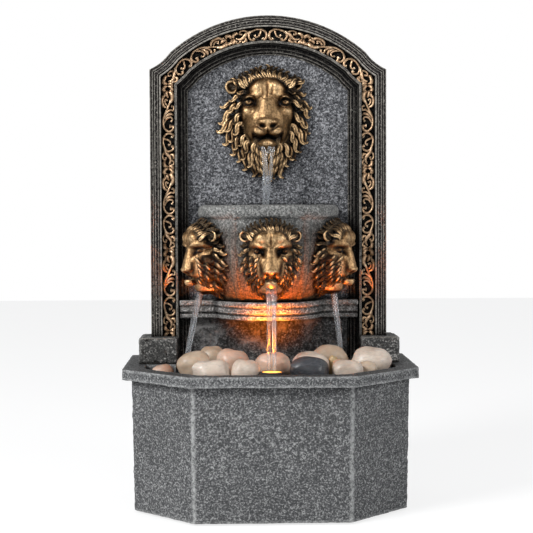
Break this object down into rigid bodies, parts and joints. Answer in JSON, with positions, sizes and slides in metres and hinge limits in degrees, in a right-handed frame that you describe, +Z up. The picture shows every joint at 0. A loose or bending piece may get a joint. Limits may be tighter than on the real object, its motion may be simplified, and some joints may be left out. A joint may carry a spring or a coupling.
{
  "type": "tabletop fountain",
  "caption": "Tabletop wall fountain: half-octagon basin with loose stones, arched stone wall, half-round bowl, lion masks, pump and lamp inside.",
  "frame": {"origin": "middle of the bottom face of the overall box, on the table under the basin", "axes": "+Z up, front towards -Y, +X to the right as seen from the front"},
  "size_m": [0.283, 0.19, 0.4808],
  "materials": {
    "cast_stone": "rough cast resin stone, dark with a dry-brushed grey",
    "gilt": "aged gold paint on cast resin",
    "black_plastic": "moulded black plastic",
    "grey_plastic": "moulded grey plastic",
    "rubber": "black rubber",
    "steel": "zinc-plated steel",
    "clear_hose": "clear flexible hose",
    "ceramic": "white ceramic",
    "potting": "potted coil and iron core",
    "stone_white": "polished white and grey river stone",
    "stone_tan": "polished tan river stone",
    "stone_pink": "polished pink and orange river stone",
    "stone_yellow": "polished yellow river stone",
    "stone_black": "polished black river stone",
    "magnet": "coated magnet with moulded blades",
    "circuit_board": "white lamp board",
    "lens": "warm yellow clear lens",
    "seal_red": "red silicone ring"
  },
  "bodies": {
    "fountain": {"basin": "cast_stone", "basin_feet": "rubber", "pebble_tray": "black_plastic", "pebbles_white": "stone_white", "pebbles_tan": "stone_tan", "pebbles_pink": "stone_pink", "pebble_yellow": "stone_yellow", "pebble_black": "stone_black", "wall_casting": "cast_stone", "rear_cover": "black_plastic", "rear_cover_screws": "steel", "scroll_left": "gilt", "scroll_right": "gilt", "scroll_arch": "gilt", "shelf_moulding": "cast_stone", "bowl": "cast_stone", "lion_top": "gilt", "lion_centre": "gilt", "lion_left": "gilt", "lion_right": "gilt", "top_spout": "black_plastic", "bowl_spouts": "black_plastic", "riser_hose": "clear_hose", "hose_clamps": "steel", "pump_body": "black_plastic", "pump_core": "potting", "pump_end_cap": "black_plastic", "pump_gland": "rubber", "pump_volute": "grey_plastic", "pump_seal": "seal_red", "pump_shaft": "ceramic", "pump_bushes": "rubber", "suction_cups": "rubber", "led_housing": "black_plastic", "led_board": "circuit_board", "led_lens": "lens", "led_gland": "rubber"},
    "rotor": {"pump_rotor": "magnet"},
    "intake": {"intake_cover": "grey_plastic"},
    "dial": {"flow_dial": "grey_plastic"}
  },
  "joints": [
    {"name": "rotor_spin", "type": "hinge", "parent": "fountain", "child": "rotor", "pos_m": [0, 0.058, 0.032], "axis": [1, 0, 0], "continuous": true},
    {"name": "intake_slide", "type": "slide", "parent": "fountain", "child": "intake", "axis": [-1, 0, 0], "range_m": [0, 0.03]},
    {"name": "dial_turn", "type": "hinge", "parent": "intake", "child": "dial", "pos_m": [0, 0.058, 0.032], "axis": [1, 0, 0], "range_deg": [0, 90]}
  ]
}
